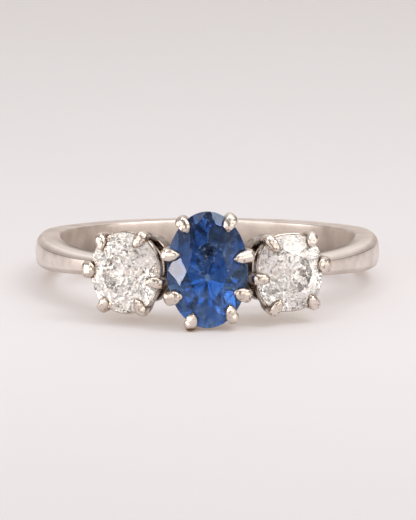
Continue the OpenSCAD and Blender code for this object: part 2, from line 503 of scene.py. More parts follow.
CLAW_STATIONS = (
    ClawStation(-0.10, 0.00, -0.50, 0.92, 1.05),
    ClawStation(0.30, 0.00, -0.12, 0.98, 1.00),
    ClawStation(0.36, 0.00, 0.30, 1.00, 0.98),
    ClawStation(0.00, 0.14, 0.50, 0.98, 0.96),
    ClawStation(0.00, 0.55, 0.30, 0.86, 0.96),
    ClawStation(0.00, 0.88, 0.16, 0.52, 0.76),
    ClawStation(0.00, 1.00, 0.08, 0.24, 0.44),
)
TIP_SHARES = (0.35, 0.62, 0.82, 0.94, 0.99)


@dataclass(frozen=True)
class Claw:
    """A claw of a coronet: its place round the girdle and its tip's turn, in degrees.

    share and size are its reach and width next to the coronet's own, blunt rounds its tip off and
    ridge peaks its outer face.
    """

    place: float
    turn: float
    share: float
    size: float = 1.0
    blunt: float = 0.0
    ridge: bool = False


@dataclass(frozen=True)
class Coronet:
    """A stone's setting: a base rail on the finger's side, claws and a bearing band.

    Names that end in w, t and h are widths, thicknesses and heights. rise is the girdle's height
    over the finger, lift its height over the band's middle and reach how far a claw comes in over
    the stone. rail is the rail's size as a share of the girdle's. A claw's foot is foot_share of
    its width, and its section is flat inside, round outside or peaked to a ridge, by the powers of
    its sides. Dents are dent_depth deep.
    """

    name: str
    stone: Stone
    angle: float
    rise: float
    rail: float
    claw_w: float
    reach: float
    claws: tuple[Claw, ...]
    bearing_h: float = 0.0
    lift: float = 0.0
    claw_t: float = 0.5
    rail_wall: float = 0.42
    rail_h: float = 0.8
    bearing_lip: float = 0.08
    seat_gap: float = 0.03
    foot_share: float = 0.9
    blunt_fall: float = 0.75
    swell_share: float = 0.5
    flat_power: float = 0.45
    round_power: float = 0.85
    ridge_power: float = 1.6
    dent_depth: float = 0.018
    dents_per_mm: float = 2.2
    line_steps: int = 5
    section_sides: int = 24
    round_steps: int = 128

    def place(self, finger_r: float) -> Matrix:
        """Matrix from the stone's own frame to the ring's, round a finger of a radius."""
        return girdle_matrix(Matrix(), self.angle, finger_r + self.rise, self.lift)

    def claw_line(self, claw: Claw) -> np.ndarray:
        """Middle, width, thickness and direction across of each section of a claw.

        Args:
            claw: The claw.

        Returns:
            Rows of x, y, z, width, thickness and the two numbers of the direction across.
        """
        turn = math.radians(claw.turn)
        point = self.stone.girdle_point(math.radians(claw.place))
        facing = self.stone.girdle_facing(math.radians(claw.place))
        tip_way = turned(facing, turn)
        reach = self.reach * claw.share
        drop = self.rise - self.rail_h
        foot = point * self.rail - facing * self.rail_wall / 2
        wide, thick = self.foot_share * self.claw_w, self.claw_t
        across = (facing[1], -facing[0])
        rows = [
            (*foot, -self.rise - self.rail_h / 2, wide, thick, *across),
            (*foot, -drop, wide, thick, *across),
        ]
        for s in CLAW_STATIONS:
            bent = turned(facing, turn * min(1, 2 * s.inward))
            q = point + facing * s.out * self.claw_t - tip_way * s.inward * reach
            over = self.stone.crown_height(q) if s.inward > 0 else 0.0
            z = s.up * drop if s.up < 0 else s.up * self.claw_t + over
            full = math.sqrt(1 - self.blunt_fall * s.inward**4)
            broad = claw.size * (s.wide + claw.blunt * max(0.0, full - s.wide))
            swell = s.thick + (claw.size - 1) * self.swell_share * float(s.up > 0)
            rows.append((*q, z, broad * self.claw_w, swell * self.claw_t, bent[1], -bent[0]))
        return np.array(rows)

    def claw_shell(self, claw: Claw) -> tuple[list, list]:
        """Rounded skin of a claw, in the stone's own frame.

        Args:
            claw: The claw.

        Returns:
            The skin's points and faces.
        """
        line = spline(self.claw_line(claw), self.line_steps)
        tip = line[-1]
        tip_way = unit(tip[:3] - line[-2][:3])
        for share in TIP_SHARES:
            row = tip.copy()
            row[:3] += tip_way * share * tip[3] * 0.5
            row[3:5] *= math.sqrt(1 - share * share)
            line = np.vstack([line, row])
        section = self.claw_section(self.ridge_power if claw.ridge else self.round_power)
        rings = []
        for i, row in enumerate(line):
            after, before = line[min(i + 1, len(line) - 1)], line[max(i - 1, 0)]
            across = unit(np.array([row[5], row[6], 0.0]))
            out = unit(np.cross(unit(after[:3] - before[:3]), across))
            rings.append([row[:3] + across * x * row[3] + out * y * row[4] for x, y in section])
        rings = np.array(rings)
        start = Vector((claw.place, self.angle, 0.0))
        for ring in rings:
            for point in ring:
                point += dent(Vector(point) * self.dents_per_mm + start, self.dent_depth)
        return loft(rings)

    def claw_section(self, outer: float) -> list[tuple[float, float]]:
        """Outline across a claw, of width and thickness one.

        Args:
            outer: Power of its outer side.

        Returns:
            The outline's points.
        """
        turn = 2 * math.pi / self.section_sides
        section = []
        for i in range(self.section_sides):
            x, y = math.cos(i * turn), math.sin(i * turn)
            power = outer if y > 0 else self.flat_power
            section.append((0.5 * signed_power(x, power), 0.5 * signed_power(y, power)))
        return section

    def wall_shell(
        self, share: float, extra: float, wall: float, low: float, high: float
    ) -> tuple[list, list]:
        """Skin of an upright wall round the stone, with rounded edges.

        Args:
            share: Size of the wall's outline next to the girdle's.
            extra: How far it stands out of that outline.
            wall: Thickness of the wall.
            low: Height of its lower edge.
            high: Height of its upper edge.

        Returns:
            The skin's points and faces.
        """
        worn = min(Edge.RAIL.value, EDGE_SHARE * wall, EDGE_SHARE * (high - low))
        bends = [math.radians(22.5 * k) for k in range(5)]
        corner = [(worn * (1 - math.cos(a)), worn * (1 - math.sin(a))) for a in bends]
        section = [(0.0, low)]
        section += [(-x, high - z) for x, z in corner]
        section += [(x - wall, high - z) for x, z in reversed(corner)]
        section += [(-wall, low)]
        turn = 2 * math.pi / self.round_steps
        rings = []
        for i in range(self.round_steps):
            ring = []
            for inset, z in section:
                point = self.stone.girdle_point((i + 0.5) * turn, (extra + inset) / share)
                ring.append((*(share * point), z))
            rings.append(ring)
        return loft(np.array(rings), around=True)

    def light_hole(self, pose: RestPose) -> bpy.types.Object:
        """Open inside of the coronet, which goes through the band.

        Args:
            pose: Where the ring lies.

        Returns:
            The solid of the opening, in the ring's own frame.
        """
        outline = [
            self.rail * self.stone.girdle_point(t, -self.rail_wall / self.rail)
            for t in np.linspace(0, 2 * math.pi, self.round_steps, endpoint=False)
        ]
        levels = (-self.rise - 2 * self.rail_h, 0.0)
        rings = np.array([[(x, y, z) for x, y in outline] for z in levels])
        hole = new_object(self.name + "_hole", [loft(rings)])
        hole.data.transform(self.place(pose.finger_r))
        return hole

    def build(self, pose: RestPose) -> bpy.types.Object:
        """Solders rail, bearing band and claws together and cuts the seat.

        Args:
            pose: Where the ring lies.

        Returns:
            The coronet, in the ring's own frame.
        """
        low, high = -self.rise - self.rail_h, -self.rise + self.rail_h
        walls = [self.wall_shell(self.rail, 0.0, self.rail_wall, low, high)]
        if self.bearing_h > 0:
            low = -GIRDLE_T - self.bearing_h
            wall = self.bearing_lip + self.rail_wall
            walls.append(self.wall_shell(1.0, self.bearing_lip, wall, low, -GIRDLE_T))
        obj = new_object(self.name, walls)
        cut(obj, Cut.ADD, new_object("claws", [self.claw_shell(c) for c in self.claws]))
        cut(obj, Cut.REMOVE, self.stone.build("seat", self.seat_gap))
        obj.data.transform(self.place(pose.finger_r))
        cut(obj, Cut.REMOVE, pose.finger())
        return obj


@dataclass(frozen=True)
class Band:
    """The band: domed outside, thicker towards the head and bevelled at its shoulders.

    Names that end in t, w, r and h are thicknesses, widths, radii and heights. width_out is how
    far out of the finger its width is set. Under the head it steps down to the rails' height
    within step_turn to both sides of the gap's end, in radians. Dents begin even_out from the
    finger and are at their full depth dented_out from it.
    """

    back_t: float = 1.15
    shoulder_t: float = 1.65
    back_w: float = 1.5
    side_w: float = 2.0
    shoulder_w: float = 1.0
    dome_r: float = 2.4
    side_face: float = 1.2
    shoulder_face: float = 0.3
    rail_h: float = 0.8
    width_out: float = 0.7
    least_edge: float = 0.002
    step_turn: float = 0.004
    dent_depth: float = 0.012
    dents_per_mm: float = 0.9
    even_out: float = 0.1
    dented_out: float = 0.6
    dome_steps: int = 8
    search_steps: int = 24
    round_steps: int = 384

    def half_width(self, y: float, finger_r: float, side_angle: float) -> float:
        """Half of the band's width.

        Args:
            y: Place along the ring, negative towards the stones.
            finger_r: Radius of the finger hole.
            side_angle: Angle of the side stones in degrees.

        Returns:
            Half the width there.
        """
        back = finger_r + self.back_t
        front = finger_r * math.cos(math.radians(side_angle))
        widths = np.interp(
            y, [-front, 0.0, back], [self.shoulder_w / 2, self.side_w / 2, self.back_w / 2]
        )
        return float(widths)

    def outer_radius(self, way: np.ndarray, z: float, finger_r: float) -> tuple[float, float]:
        """How far out the dome and the bevel lie, from the finger's middle.

        Args:
            way: Unit vector outwards, of two numbers.
            z: Height over the band's middle.
            finger_r: Radius of the finger hole.

        Returns:
            The dome's distance and the bevel's.
        """
        axis_r = finger_r + (self.back_t + self.shoulder_t) / 2
        dome = axis_r - self.dome_r + math.sqrt(self.dome_r**2 - z * z)
        dome_shift = (self.shoulder_t - self.back_t) / 2
        bevel = axis_r + self.side_face / 2
        bevel_shift = bevel - finger_r - self.shoulder_t - self.shoulder_face / 2
        return (
            self.ray_length(way, -dome_shift, dome),
            self.ray_length(way, bevel_shift, bevel - abs(z)),
        )

    @staticmethod
    def ray_length(way: np.ndarray, shift: float, radius: float) -> float:
        """Distance from the middle to a circle whose own middle is shifted along Y.

        Args:
            way: Unit vector outwards.
            shift: Shift of the circle.
            radius: Its radius.

        Returns:
            The distance.
        """
        along = shift * way[1]
        return along + math.sqrt(along * along + radius * radius - shift * shift)

    def section(self, angle: float, finger_r: float, head: "Head") -> list[tuple[float, float]]:
        """Outline of the band at an angle, as distances out and heights.

        Args:
            angle: Angle in radians from the middle of the head.
            finger_r: Radius of the finger hole.
            head: The three coronets.

        Returns:
            The outline, the same number of points at every angle.
        """
        way = np.array([math.sin(angle), -math.cos(angle)])
        half = self.half_width(way[1] * (finger_r + self.width_out), finger_r, head.side_angle)
        cap = finger_r + self.rail_h if abs(angle) < head.gap_angle(finger_r) else math.inf

        def out(z: float) -> float:
            """Distance to the outer face at a height."""
            return min(*self.outer_radius(way, z, finger_r), cap)

        low, high = 0.0, half
        for _ in range(self.search_steps):
            middle = (low + high) / 2
            dome, bevel = self.outer_radius(way, middle, finger_r)
            if dome < bevel:
                low = middle
            else:
                high = middle
        bevel_z = min(low, half - self.least_edge)
        corners = [
            ((finger_r, 0.0), 0.0),
            ((finger_r, half), Edge.FINGER.value),
            ((out(half), half), Edge.SIDE.value),
            ((out(bevel_z), bevel_z), Edge.BEVEL.value),
        ]
        upper = rounded([c[0] for c in corners], [c[1] for c in corners])
        dome_z = [bevel_z * (1 - k / self.dome_steps) for k in range(1, self.dome_steps + 1)]
        upper += [(out(z), z) for z in dome_z]
        lower = [(r, -z) for r, z in reversed(upper[1:-1])]
        return upper + lower

    def build(self, pose: RestPose, head: "Head") -> bpy.types.Object:
        """Lofts the band round the finger and opens it under the stones.

        Args:
            pose: Where the ring lies.
            head: The three coronets.

        Returns:
            The band, in the ring's own frame.
        """
        gap = head.gap_angle(pose.finger_r)
        angles = list(np.linspace(-math.pi, math.pi, self.round_steps, endpoint=False))
        step = self.step_turn
        angles += [side * (gap + turn) for side in (-1, 1) for turn in (-step, step)]
        rings = []
        for angle in sorted(angles):
            outline = self.section(angle, pose.finger_r, head)
            rings.append([(r * math.sin(angle), -r * math.cos(angle), z) for r, z in outline])
        rings = np.array(rings)
        for ring in rings:
            for point in ring:
                out = math.hypot(point[0], point[1]) - pose.finger_r
                if out > self.even_out:
                    pushed = dent(Vector(point) * self.dents_per_mm, self.dent_depth)
                    point += pushed * min(1.0, out / self.dented_out)
        obj = new_object("band", [loft(rings, around=True)])
        for coronet in head.coronets:
            cut(obj, Cut.REMOVE, coronet.light_hole(pose))
        return obj


def rounded(
    corners: Sequence[tuple[float, float]], radii: Sequence[float]
) -> list[tuple[float, float]]:
    """Outline through corners that are worn round, all but the first.

    None is worn back by more than WORN_SHARE of the shorter side beside it. After the last one the
    outline goes on by ONWARDS, shares of its distance out and of its height.

    Args:
        corners: The corners in order; the last one goes on to a curve.
        radii: How far each is worn.

    Returns:
        Points of the outline, always as many.
    """
    points = [np.array(c) for c in corners]
    line = [tuple(points[0]), tuple((points[0] + points[1]) / 2)]
    for i in range(1, len(points)):
        here, before = points[i], points[i - 1]
        after = points[i + 1] if i + 1 < len(points) else here * ONWARDS
        back, on = before - here, after - here
        most = WORN_SHARE * min(np.linalg.norm(back), np.linalg.norm(on))
        worn = min(radii[i], most)
        a = here + unit(back) * worn
        b = here + unit(on) * worn
        for t in (0.0, 0.25, 0.5, 0.75, 1.0):
            line.append(tuple((1 - t) ** 2 * a + 2 * t * (1 - t) * here + t * t * b))
        if i + 1 < len(points):
            line.append(tuple((b + after) / 2))
    return line


@dataclass(frozen=True)
class Head:
    """The three coronets in a row."""

    coronets: tuple[Coronet, ...]
    side_angle: float

    def gap_angle(self, finger_r: float) -> float:
        """Angle from the middle of the head to where the shoulders end, in radians.

        Args:
            finger_r: Radius of the finger hole.

        Returns:
            The angle.
        """
        sides = [c for c in self.coronets if c.angle != 0]
        share = min(c.stone.half_w * c.rail - c.rail_wall for c in sides)
        return math.radians(self.side_angle) + math.asin(share / (finger_r + sides[0].rail_h))


class Nodes:
    """Short way to write a node tree."""

    def __init__(self, tree: bpy.types.NodeTree) -> None:
        """Empties the tree and keeps it."""
        self.tree = tree
        tree.nodes.clear()

    def add(self, kind: str, inputs: dict | None = None, **settings: object) -> bpy.types.Node:
        """Adds a node.

        Args:
            kind: Blender's name of the node's type.
            inputs: Values or output sockets by input name or number.
            settings: Attributes of the node.

        Returns:
            The node.
        """
        node = self.tree.nodes.new(kind)
        for name, value in settings.items():
            setattr(node, name, value)
        for name, value in (inputs or {}).items():
            if isinstance(value, bpy.types.NodeSocket):
                self.tree.links.new(value, node.inputs[name])
            else:
                node.inputs[name].default_value = value
        return node

    def noise(self, where: bpy.types.NodeSocket, scale: float, detail: float) -> object:
        """Noise texture.

        Args:
            where: Socket of the place.
            scale: Its scale, in lumps a metre.
            detail: How fine its detail goes.

        Returns:
            Its value's socket.
        """
        inputs = {"Vector": where, "Scale": scale, "Detail": detail}
        return self.add("ShaderNodeTexNoise", inputs).outputs["Fac"]

    def cells(self, where: bpy.types.NodeSocket, size_mm: float) -> bpy.types.NodeSocket:
        """Random colours of small cells.

        Args:
            where: Socket of the place, in metres.
            size_mm: Size of the cells.

        Returns:
            The colour's socket.
        """
        inputs = {"Vector": where, "Scale": 1 / (size_mm * MM)}
        return self.add("ShaderNodeTexVoronoi", inputs).outputs["Color"]

    def channel(self, colour: bpy.types.NodeSocket) -> bpy.types.NodeSocket:
        """First channel of a colour."""
        return self.add("ShaderNodeSeparateColor", {"Color": colour}).outputs[0]

    def vector(self, how: str, *values: object) -> bpy.types.NodeSocket:
        """Arithmetic on vectors.

        Args:
            how: Blender's name of the operation.
            values: Its inputs; the second of SCALE is a number.

        Returns:
            The result's socket.
        """
        places = (0, 3) if how == "SCALE" else (0, 1)
        node = self.add("ShaderNodeVectorMath", dict(zip(places, values)), operation=how)
        return node.outputs["Vector"]

    def openness(self, reach: float) -> bpy.types.NodeSocket:
        """Share of open sky over each point, as far as a reach in metres."""
        sky = self.add("ShaderNodeAmbientOcclusion", {"Distance": reach}, samples=8)
        return sky.outputs["AO"]

    def attribute(self, name: str) -> bpy.types.NodeSocket:
        """Value of a mesh attribute."""
        return self.add("ShaderNodeAttribute", attribute_name=name).outputs["Fac"]

    def place(self) -> bpy.types.NodeSocket:
        """Place on the object, in metres."""
        return self.add("ShaderNodeTexCoord").outputs["Object"]

    def bump(self, strength: float, depth: float, height: object) -> bpy.types.NodeSocket:
        """Way that a bumpy surface faces.

        Args:
            strength: How strong the bumps are.
            depth: Their depth in metres.
            height: Socket of their height.

        Returns:
            The socket of the way it faces.
        """
        inputs = {"Strength": strength, "Distance": depth, "Height": height}
        return self.add("ShaderNodeBump", inputs).outputs["Normal"]

    def near(self, way: bpy.types.NodeSocket, glow: "Glow") -> bpy.types.NodeSocket:
        """How far a direction lies inside a glow.

        Args:
            way: Socket of the direction.
            glow: The glow.

        Returns:
            The share's socket, 1 in its middle and 0 outside.
        """
        middle = tuple(direction(glow.azimuth, glow.elevation))
        along = self.add("ShaderNodeVectorMath", {0: way, 1: middle}, operation="DOT_PRODUCT")
        bounds = {
            "Value": along.outputs["Value"],
            "From Min": math.cos(math.radians(glow.outer)),
            "From Max": math.cos(math.radians(glow.inner)),
        }
        share = self.add("ShaderNodeMapRange", bounds, interpolation_type="SMOOTHSTEP")
        return share.outputs["Result"]

    def ramp(self, factor: bpy.types.NodeSocket, stops: Sequence[tuple]) -> bpy.types.NodeSocket:
        """Colour ramp.

        Args:
            factor: The socket that drives it.
            stops: Places and colours.

        Returns:
            Its colour socket.
        """
        node = self.add("ShaderNodeValToRGB", {"Fac": factor})
        elements = node.color_ramp.elements
        while len(elements) < len(stops):
            elements.new(0.5)
        for element, (place, colour) in zip(elements, stops):
            element.position = place
            element.color = (*colour, 1.0)
        return node.outputs["Color"]

    def mix(
        self, share: object, first: object, second: object, how: str = "MIX"
    ) -> bpy.types.NodeSocket:
        """Mixes two colours.

        Args:
            share: Socket or number, 0 for the first colour and 1 for the second.
            first: Socket or colour.
            second: Socket or colour.
            how: Blender's name of the way to blend.

        Returns:
            The mixed colour's socket.
        """
        pair = [(*c, 1.0) if isinstance(c, tuple) else c for c in (first, second)]
        inputs = {0: share, 6: pair[0], 7: pair[1]}
        return self.add("ShaderNodeMix", inputs, data_type="RGBA", blend_type=how).outputs[2]

    def math(self, how: str, *values: object) -> bpy.types.NodeSocket:
        """Arithmetic on sockets or numbers.

        Args:
            how: Blender's name of the operation.
            values: Its inputs.

        Returns:
            The result's socket.
        """
        node = self.add("ShaderNodeMath", dict(enumerate(values)), operation=how)
        return node.outputs[0]


def new_material(name: str) -> tuple[bpy.types.Material, Nodes]:
    """Makes an empty material.

    Args:
        name: Its name.

    Returns:
        The material and its node tree.
    """
    material = bpy.data.materials.new(name)
    material.use_nodes = True
    return material, Nodes(material.node_tree)


@dataclass(frozen=True)
class WornMetal:
    """Worn white gold or platinum: warm grey, softly polished, with fine scratches and dents.

    light and dull are its polished and worn tones, and painted_light_tone is the lighter tone
    painted as light on the faces that are marked clean. grime_and_shade is the colour of
    painted shade where little sky is open within reach_mm, all of it at the share closed and none
    at open, as thick as depth, and in joints within joint_mm, and of dirt in its pits.
    tarnish is the colour of the painted shade on the places that are marked so, pitted the
    darkness of its pits and bumped the strength of its scratches. scratches gives each set's way,
    in radians, and how many lie side by side in a metre.
    """

    name: str = "worn_white_metal"
    light: tuple[float, float, float] = (0.84, 0.76, 0.69)
    dull: tuple[float, float, float] = (0.58, 0.50, 0.435)
    painted_light_tone: tuple[float, float, float] = (0.95, 0.91, 0.87)
    grime_and_shade: tuple[float, float, float] = (0.16, 0.09, 0.045)
    tarnish: tuple[float, float, float] = (0.06, 0.035, 0.02)
    roughness: float = 0.13
    reach_mm: float = 0.8
    closed: float = 0.2
    open: float = 0.75
    depth: float = 0.85
    joint_mm: float = 0.35
    pitted: float = 0.85
    bumped: float = 0.9
    scratches: tuple[tuple[float, float], ...] = ((0.5, 9000.0), (2.1, 12000.0), (1.2, 7000.0))

    def scratch(
        self, n: Nodes, where: bpy.types.NodeSocket, turn: float, scale: float
    ) -> bpy.types.NodeSocket:
        """Fine scratches that run one way.

        Args:
            n: The node tree.
            where: Socket of the place.
            turn: Their way, in radians.
            scale: How many lie side by side in a metre.

        Returns:
            The socket of their depth.
        """
        inputs = {"Vector": where, "Rotation": (turn, 0.4 * turn, turn), "Scale": (1, 0.035, 1)}
        lines = n.add("ShaderNodeMapping", inputs).outputs["Vector"]
        fine = n.noise(lines, scale, 2.0)
        return n.math("SMOOTH_MAX", n.math("SUBTRACT", fine, 0.6), 0.0, 0.02)

    def dirt_and_shade(self, n: Nodes, where: bpy.types.NodeSocket) -> bpy.types.NodeSocket:
        """Share of painted shade in corners and joints, and of dirt in pits.

        Args:
            n: The node tree.
            where: Socket of the place.

        Returns:
            The share's socket.
        """
        pits = n.ramp(n.noise(where, 7500.0, 2.0), [(0.58, BLACK), (0.68, WHITE)])
        # Painted shade: darker where little sky is open nearby, in corners and in joints.
        sky = n.openness(self.reach_mm * MM)
        corners = n.ramp(sky, [(self.closed, WHITE), (self.open, BLACK)])
        joints = n.ramp(n.openness(self.joint_mm * MM), [(0.60, WHITE), (0.96, BLACK)])
        amount = n.math("MAXIMUM", n.math("MULTIPLY", corners, self.depth), joints)
        return n.math("MAXIMUM", amount, n.math("MULTIPLY", pits, self.pitted))

    def material(self) -> bpy.types.Material:
        """Makes the material.

        Returns:
            The material.
        """
        material, n = new_material(self.name)
        where = n.place()
        patches = n.noise(where, 900.0, 6.0)
        grain = n.noise(where, 6000.0, 8.0)
        first, second, third = [self.scratch(n, where, *s) for s in self.scratches]
        scratched = n.math("ADD", n.math("ADD", first, second), third)
        # Painted light: marked faces take a lighter tone and no painted shade or dirt.
        clean = n.attribute("clean")
        dirt_and_shade_amount = n.math("MULTIPLY", self.dirt_and_shade(n, where), n.math("SUBTRACT", 1.0, clean))
        tone = n.ramp(patches, [(0.3, self.dull), (0.62, self.light)])
        tone = n.mix(clean, tone, self.painted_light_tone)
        # Painted shade in corners and joints, and dirt in pits.
        colour = n.mix(dirt_and_shade_amount, tone, self.grime_and_shade)
        # Painted shade on the places marked tarnish.
        colour = n.mix(n.attribute("tarnish"), colour, self.tarnish)
        rough = n.math("MULTIPLY_ADD", patches, 0.14, self.roughness - 0.05)
        rough = n.math("MULTIPLY_ADD", dirt_and_shade_amount, 0.35, rough)
        height = n.math("MULTIPLY_ADD", scratched, -1.2, n.math("MULTIPLY", grain, 0.10))
        height = n.math("MULTIPLY_ADD", patches, 0.6, height)
        shader = n.add(
            "ShaderNodeBsdfPrincipled",
            {
                "Base Color": colour,
                "Metallic": 1.0,
                "Roughness": rough,
                "Normal": n.bump(self.bumped, 0.02 * MM, height),
            },
        )
        n.add("ShaderNodeOutputMaterial", {"Surface": shader.outputs[0]})
        return material


# The band's finish, whose painted shade reaches 3 mm into its hollows.
BAND_METAL = WornMetal(
    name="worn_band",
    light=(0.85, 0.775, 0.725),
    dull=(0.67, 0.60, 0.55),
    roughness=0.32,
    tarnish=(0.11, 0.065, 0.035),
    reach_mm=3.0,
    closed=0.30,
    open=0.85,
    depth=0.35,
    pitted=0.12,
    bumped=0.35,
)


@dataclass(frozen=True)
class GemFinish:
    """Cut stone: its optics, its colour through a millimetre and what clouds it.

    rim is the tint of its outermost part, kept the share of light that a millimetre lets through,
    gloss the tint of what it mirrors and fleck that of its inclusions. The back is cut in many
    small uneven flats, as wide as chip_mm, leaned by as much as chip_lean and as rough as soft. A
    fine silk of the colour haze veils the share haze_low of the light at one end of the stone and
    haze_high at the other, which has specks of the colour white, as strong as specked. The colour
    dirt_and_shade is painted shade within claw_mm of the claws, where they close over the stone,
    and dirt between the flats, as much as lined.
    """

    name: str
    ior: float
    tint: tuple[float, float, float]
    rim: tuple[float, float, float]
    kept: tuple[float, float, float]
    gloss: tuple[float, float, float]
    fleck: tuple[float, float, float]
    fleck_mm: float
    chip_mm: float
    chip_lean: float
    haze: tuple[float, float, float]
    haze_low: float
    haze_high: float
    lined: float
    soft: float
    specked: float
    white: tuple[float, float, float] = (0.50, 0.60, 0.80)
    dirt_and_shade: tuple[float, float, float] = (0.22, 0.15, 0.10)
    claw_mm: float = 0.14

    def colour(
        self, n: Nodes, where: bpy.types.NodeSocket, front: bpy.types.NodeSocket
    ) -> bpy.types.NodeSocket:
        """Tint of what passes through the surface, with flecks, dirt and painted shade near the
        claws.

        Args:
            n: The node tree.
            where: Socket of the place.
            front: Socket that is 0 at the back of the stone and 1 elsewhere.

        Returns:
            The colour's socket.
        """
        tint = n.ramp(n.attribute("rim"), [(0.5, self.tint), (1.0, self.rim)])
        flecks = n.cells(where, self.fleck_mm)
        cloud = n.math("MULTIPLY", n.noise(where, 900.0, 5.0), 2.0)
        amount = n.math("MULTIPLY", n.math("POWER", n.channel(flecks), 3.0), cloud)
        tint = n.mix(amount, tint, self.fleck, "MULTIPLY")
        inputs = {"Vector": where, "Scale": 1 / (self.chip_mm * MM)}
        joint = n.add("ShaderNodeTexVoronoi", inputs, feature="DISTANCE_TO_EDGE")
        edges = n.ramp(joint.outputs["Distance"], [(0.0, (self.lined,) * 3), (0.09, BLACK)])
        tint = n.mix(edges, tint, self.dirt_and_shade, "MULTIPLY")
        # Painted shade on the stone where the claws close over it.
        claw_shade = n.ramp(n.openness(self.claw_mm * MM), [(0.45, WHITE), (0.9, BLACK)])
        return n.mix(n.math("MULTIPLY", claw_shade, front), tint, self.dirt_and_shade, "MULTIPLY")

    def roughness(
        self, n: Nodes, where: bpy.types.NodeSocket, back: bpy.types.NodeSocket
    ) -> bpy.types.NodeSocket:
        """Roughness of the rubbed front, the unpolished girdle and the soft back.

        Args:
            n: The node tree.
            where: Socket of the place.
            back: Socket that is 1 at the back of the stone and 0 elsewhere.

        Returns:
            The roughness's socket.
        """
        rub = n.noise(where, 2500.0, 4.0)
        worn = n.math("MULTIPLY", n.math("SUBTRACT", rub, 0.55), 0.04)
        rough = n.math("MAXIMUM", worn, n.math("MULTIPLY", n.attribute("girdle"), 0.35))
        return n.math("MAXIMUM", rough, n.math("MULTIPLY", back, self.soft))

    def facing(
        self, n: Nodes, where: bpy.types.NodeSocket, back: bpy.types.NodeSocket
    ) -> bpy.types.NodeSocket:
        """Way that the surface faces, with the small flats of the back.

        Args:
            n: The node tree.
            where: Socket of the place.
            back: Socket that is 1 at the back of the stone and 0 elsewhere.

        Returns:
            The socket of the way it faces.
        """
        lean = n.vector("SUBTRACT", n.cells(where, self.chip_mm), (0.5, 0.5, 0.5))
        much = n.math("MULTIPLY", back, self.chip_lean)
        facing = n.add("ShaderNodeNewGeometry").outputs["Normal"]
        facing = n.vector("ADD", facing, n.vector("SCALE", lean, much))
        return n.vector("NORMALIZE", facing)

    def silk(
        self, n: Nodes, where: bpy.types.NodeSocket, front: bpy.types.NodeSocket
    ) -> tuple[bpy.types.NodeSocket, bpy.types.NodeSocket]:
        """Fine silk and white specks that veil the stone.

        Args:
            n: The node tree.
            where: Socket of the place.
            front: Socket that is 0 at the back of the stone and 1 elsewhere.

        Returns:
            The sockets of the share that is veiled and of the veil's colour.
        """
        along = n.math("MULTIPLY_ADD", n.attribute("along"), 0.5, 0.5)
        veil = n.ramp(along, [(0.1, (self.haze_low,) * 3), (0.45, (self.haze_high,) * 3)])
        threads = n.ramp(n.noise(where, 2000.0, 9.0), [(0.38, BLACK), (0.72, WHITE)])
        threads = n.math("MULTIPLY_ADD", threads, 1.6, 0.35)
        grains = n.ramp(n.noise(where, 7000.0, 3.0), [(0.56, BLACK), (0.68, (self.specked,) * 3)])
        swarms = n.ramp(n.noise(where, 700.0, 3.0), [(0.42, BLACK), (0.62, WHITE)])
        upper = n.ramp(along, [(0.4, (0.25, 0.25, 0.25)), (0.62, WHITE)])
        specks = n.math("MULTIPLY", n.math("MULTIPLY", grains, swarms), upper)
        colour = n.mix(n.math("GREATER_THAN", specks, 0.04), self.haze, self.white)
        amount = n.math("MAXIMUM", n.math("MULTIPLY", threads, veil), specks)
        return n.math("MULTIPLY", amount, front), colour

    def body(self, n: Nodes) -> bpy.types.NodeSocket:
        """Colour that light takes on its way through the stone.

        Args:
            n: The node tree.

        Returns:
            The volume's socket.
        """
        lost = [-math.log(k) / MM for k in self.kept]
        density = max(lost)
        colour = tuple(1 - one / density for one in lost)
        inputs = {"Color": (*colour, 1), "Density": density}
        return n.add("ShaderNodeVolumeAbsorption", inputs).outputs[0]

    def material(self) -> bpy.types.Material:
        """Makes the material.

        Returns:
            The material.
        """
        material, n = new_material(self.name)
        where = n.place()
        back = n.attribute("pavilion")
        front = n.math("SUBTRACT", 1.0, back)
        shader = n.add(
            "ShaderNodeBsdfPrincipled",
            {
                "Base Color": self.colour(n, where, front),
                "Roughness": self.roughness(n, where, back),
                "IOR": self.ior,
                "Transmission Weight": 1.0,
                "Specular Tint": (*self.gloss, 1),
                "Normal": self.facing(n, where, back),
            },
        )
        share, colour = self.silk(n, where, front)
        veil = n.add("ShaderNodeBsdfDiffuse", {"Color": colour})
        both = {0: share, 1: shader.outputs[0], 2: veil.outputs[0]}
        links = {"Surface": n.add("ShaderNodeMixShader", both).outputs[0]}
        if min(self.kept) < 1.0:
            links["Volume"] = self.body(n)
        n.add("ShaderNodeOutputMaterial", links)
        return material


SAPPHIRE = GemFinish(
    name="blue_sapphire",
    ior=1.77,
    tint=(0.97, 0.98, 1.0),
    rim=(0.62, 0.74, 0.92),
    kept=(0.57, 0.70, 0.845),
    gloss=(0.24, 0.31, 0.44),
    fleck=(0.42, 0.52, 0.70),
    fleck_mm=0.11,
    chip_mm=0.35,
    chip_lean=0.03,
    haze=(0.14, 0.24, 0.43),
    haze_low=0.42,
    haze_high=0.08,
    lined=0.15,
    soft=0.09,
    specked=0.28,
)
OLD_DIAMOND = GemFinish(
    name="old_diamond",
    ior=2.417,
    tint=(1.0, 0.985, 0.965),
    rim=(1.0, 0.975, 0.95),
    kept=(1.0, 1.0, 1.0),
    gloss=(0.25, 0.25, 0.25),
    fleck=(0.66, 0.60, 0.55),
    fleck_mm=0.12,
    chip_mm=0.20,
    chip_lean=0.14,
    haze=(1.0, 0.965, 0.94),
    haze_low=0.10,
    haze_high=0.10,
    lined=0.12,
    soft=0.10,
    specked=0.0,
)


